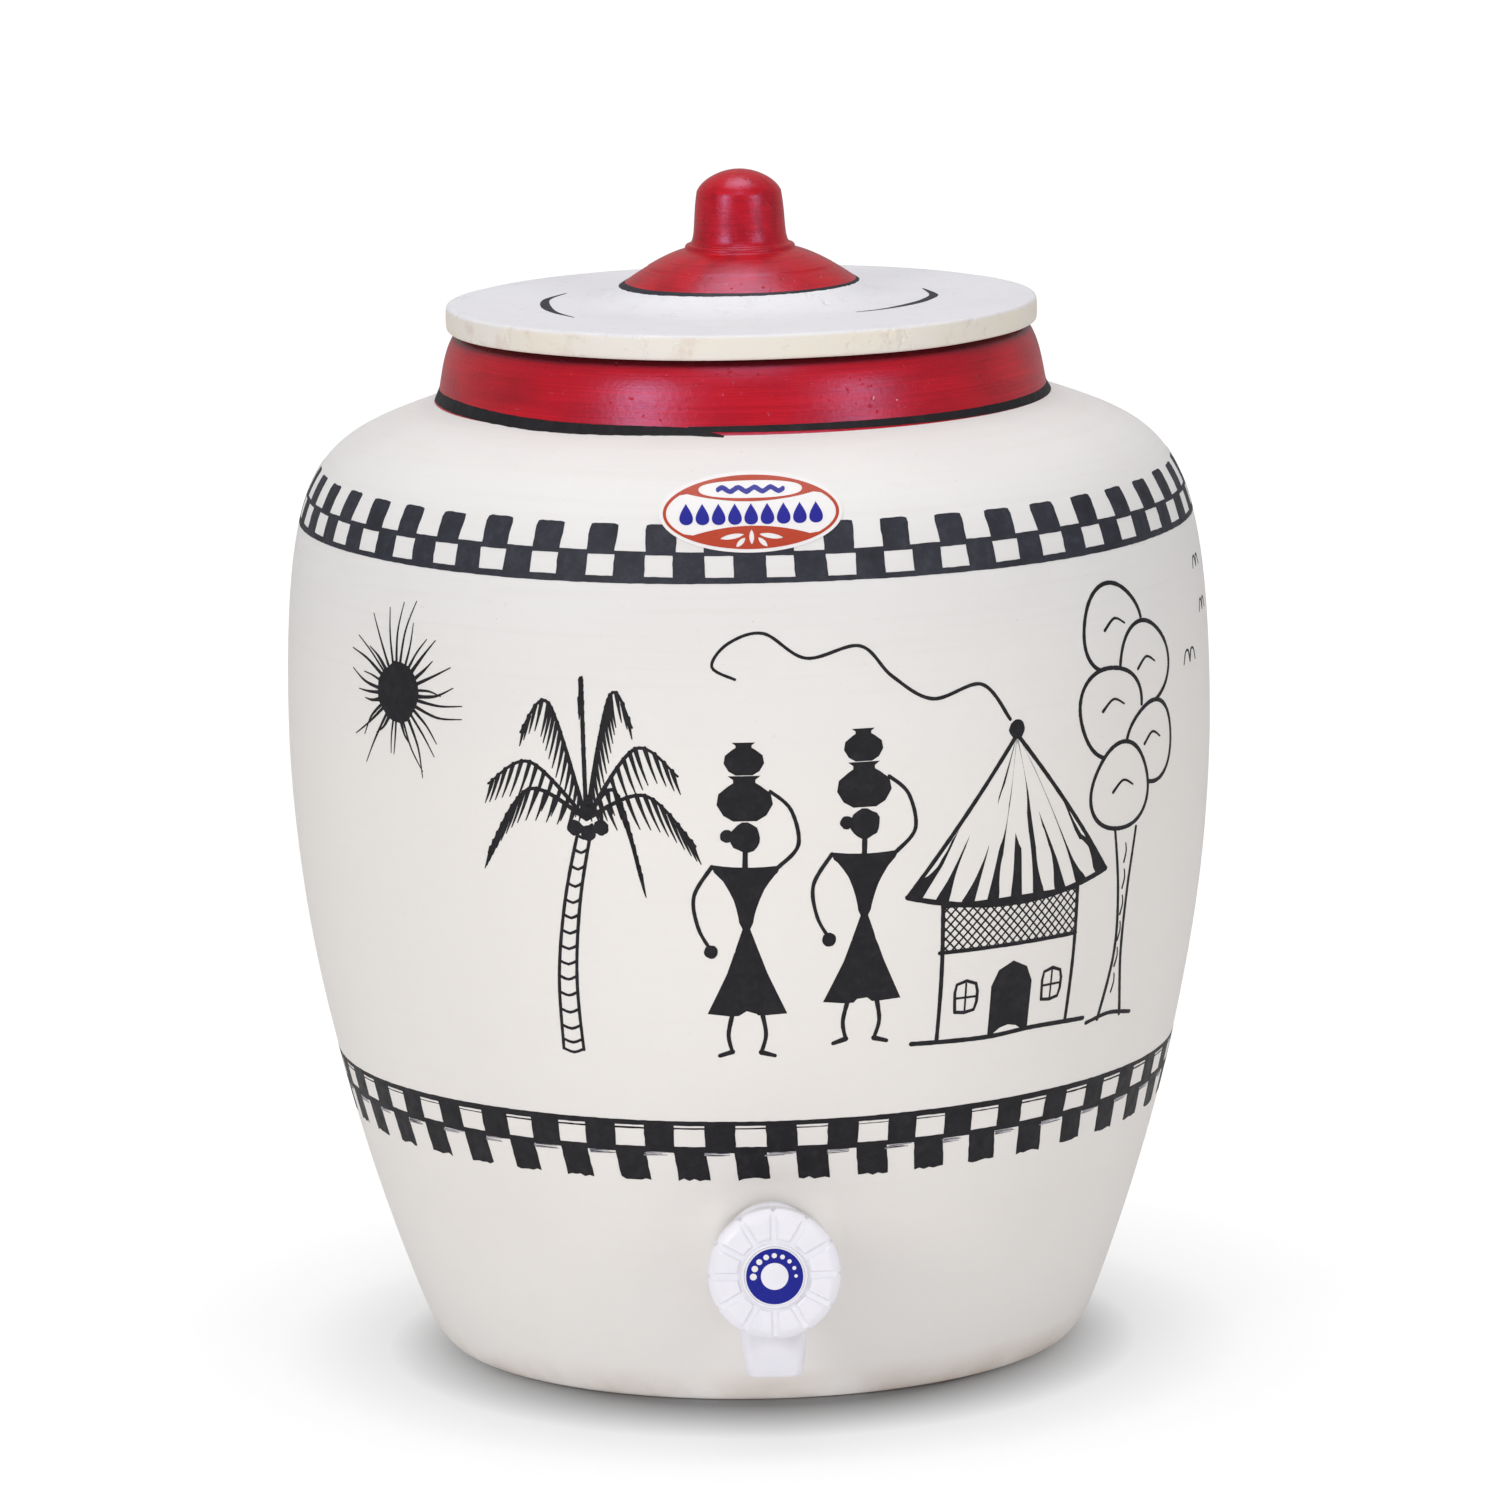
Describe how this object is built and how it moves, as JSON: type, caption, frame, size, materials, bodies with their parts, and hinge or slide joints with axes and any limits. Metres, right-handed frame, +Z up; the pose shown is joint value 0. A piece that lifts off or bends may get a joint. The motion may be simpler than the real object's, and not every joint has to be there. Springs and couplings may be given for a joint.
{
  "type": "clay water pot with tap",
  "caption": "Round-bellied clay drinking-water pot with a lift-off domed clay lid and a screw-down plastic tap near the foot.",
  "frame": {"origin": "centre of the pot's flat foot, on the surface it stands on", "axes": "+Z up along the pot's axis, the tap faces -Y, +X to the right as seen from the tap"},
  "size_m": [0.3, 0.3221, 0.382],
  "materials": {
    "clay": "matt, slipped and washed with a cream wash",
    "label": "printed sticker, satin",
    "white_plastic": "moulded, semi-gloss",
    "inner_plastic": "moulded, matt",
    "rubber": "matt",
    "screw_steel": "stainless",
    "screw_brass": "turned",
    "blue_print": "printed foil"
  },
  "bodies": {
    "pot_body": {"pot": "clay", "front_label": "label", "tap_body": "white_plastic", "outer_gasket": "rubber", "inner_gasket": "rubber", "back_washer": "inner_plastic", "lock_nut": "white_plastic", "bonnet": "inner_plastic", "bonnet_seal": "rubber", "gland_ring": "rubber"},
    "lid_body": {"lid": "clay"},
    "valve_body": {"jumper": "inner_plastic", "valve_washer": "rubber", "washer_screw": "screw_brass"},
    "handle_body": {"spindle": "inner_plastic", "knob": "white_plastic", "knob_screw": "screw_steel", "knob_cap": "white_plastic", "index_ring": "blue_print"}
  },
  "joints": [
    {"name": "lid_lift", "type": "slide", "parent": "pot_body", "child": "lid_body", "axis": [0, 0, 1], "range_m": [0, 0.2]},
    {"name": "valve_lift", "type": "slide", "parent": "pot_body", "child": "valve_body", "axis": [0, -1, 0], "range_m": [0, 0.00375]},
    {"name": "knob_turn", "type": "hinge", "parent": "valve_body", "child": "handle_body", "pos_m": [0, -0.1575, 0.057], "axis": [0, -1, 0], "range_deg": [0, 270]}
  ],
  "couplings": [
    {"joint": "valve_lift", "follows": "knob_turn", "m_per_rad": 0.0007957}
  ]
}
